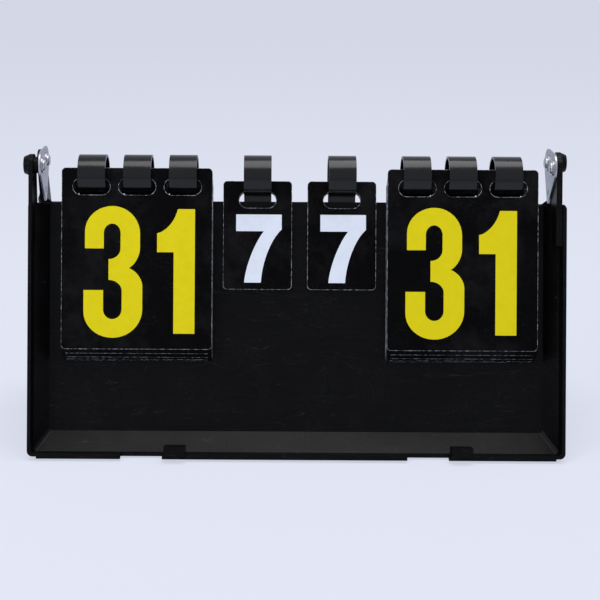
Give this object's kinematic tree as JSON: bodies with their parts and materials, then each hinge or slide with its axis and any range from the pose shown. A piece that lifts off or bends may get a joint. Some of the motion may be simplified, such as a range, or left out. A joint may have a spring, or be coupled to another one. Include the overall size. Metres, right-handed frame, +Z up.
{
  "type": "tabletop flip scoreboard",
  "caption": "Two-tray tent case on two-pivot end hinges, with strap rings that carry two score card stacks and two set card stacks to flip over.",
  "frame": {"origin": "on the table under the middle of the open tent", "axes": "+X to the right as the front cards are read, +Y to the rear, +Z up"},
  "size_m": [0.3932, 0.1702, 0.2099],
  "materials": {
    "black_plastic": "satin moulded",
    "strap_plastic": "glossy",
    "label_plastic": "matt",
    "zinc": "zinc plated",
    "rivet_steel": "satin",
    "score_card": "printed sheet",
    "set_card": "printed sheet"
  },
  "bodies": {
    "front_tray": {"front_tray": "black_plastic", "ring_bar": "black_plastic", "label": "label_plastic", "ring_score_left_inner": "strap_plastic", "ring_score_left_middle": "strap_plastic", "ring_score_left_outer": "strap_plastic", "ring_set_left": "strap_plastic", "ring_score_right_inner": "strap_plastic", "ring_score_right_middle": "strap_plastic", "ring_score_right_outer": "strap_plastic", "ring_set_right": "strap_plastic", "score_left_pack": "score_card", "set_left_pack": "set_card", "score_right_pack": "score_card", "set_right_pack": "set_card"},
    "hinge_links": {"hinge_plate_left": "zinc", "hinge_plate_right": "zinc", "rivet_front_left": "rivet_steel", "rivet_front_right": "rivet_steel", "rivet_rear_left": "rivet_steel", "rivet_rear_right": "rivet_steel", "washer_front_left": "rivet_steel", "washer_front_right": "rivet_steel", "washer_rear_left": "rivet_steel", "washer_rear_right": "rivet_steel"},
    "rear_tray": {"rear_tray": "black_plastic"},
    "score_left_leaf": {"score_left_leaf": "score_card"},
    "score_right_leaf": {"score_right_leaf": "score_card"},
    "set_left_leaf": {"set_left_leaf": "set_card"},
    "set_right_leaf": {"set_right_leaf": "set_card"}
  },
  "joints": [
    {"name": "front_hinge", "type": "hinge", "parent": "front_tray", "child": "hinge_links", "pos_m": [0, -0.00855, 0.19954], "axis": [1, 0, 0], "range_deg": [0, 162]},
    {"name": "rear_hinge", "type": "hinge", "parent": "hinge_links", "child": "rear_tray", "pos_m": [0, 0.00855, 0.19954], "axis": [1, 0, 0], "range_deg": [0, 162]},
    {"name": "score_left_leaf_turn", "type": "hinge", "parent": "front_tray", "child": "score_left_leaf", "pos_m": [0, 0.00313, 0.18986], "axis": [-1, 0, 0], "range_deg": [0, 240]},
    {"name": "score_right_leaf_turn", "type": "hinge", "parent": "front_tray", "child": "score_right_leaf", "pos_m": [0, 0.00313, 0.18986], "axis": [-1, 0, 0], "range_deg": [0, 240]},
    {"name": "set_left_leaf_turn", "type": "hinge", "parent": "front_tray", "child": "set_left_leaf", "pos_m": [0, 0.00313, 0.18986], "axis": [-1, 0, 0], "range_deg": [0, 295]},
    {"name": "set_right_leaf_turn", "type": "hinge", "parent": "front_tray", "child": "set_right_leaf", "pos_m": [0, 0.00313, 0.18986], "axis": [-1, 0, 0], "range_deg": [0, 295]}
  ]
}
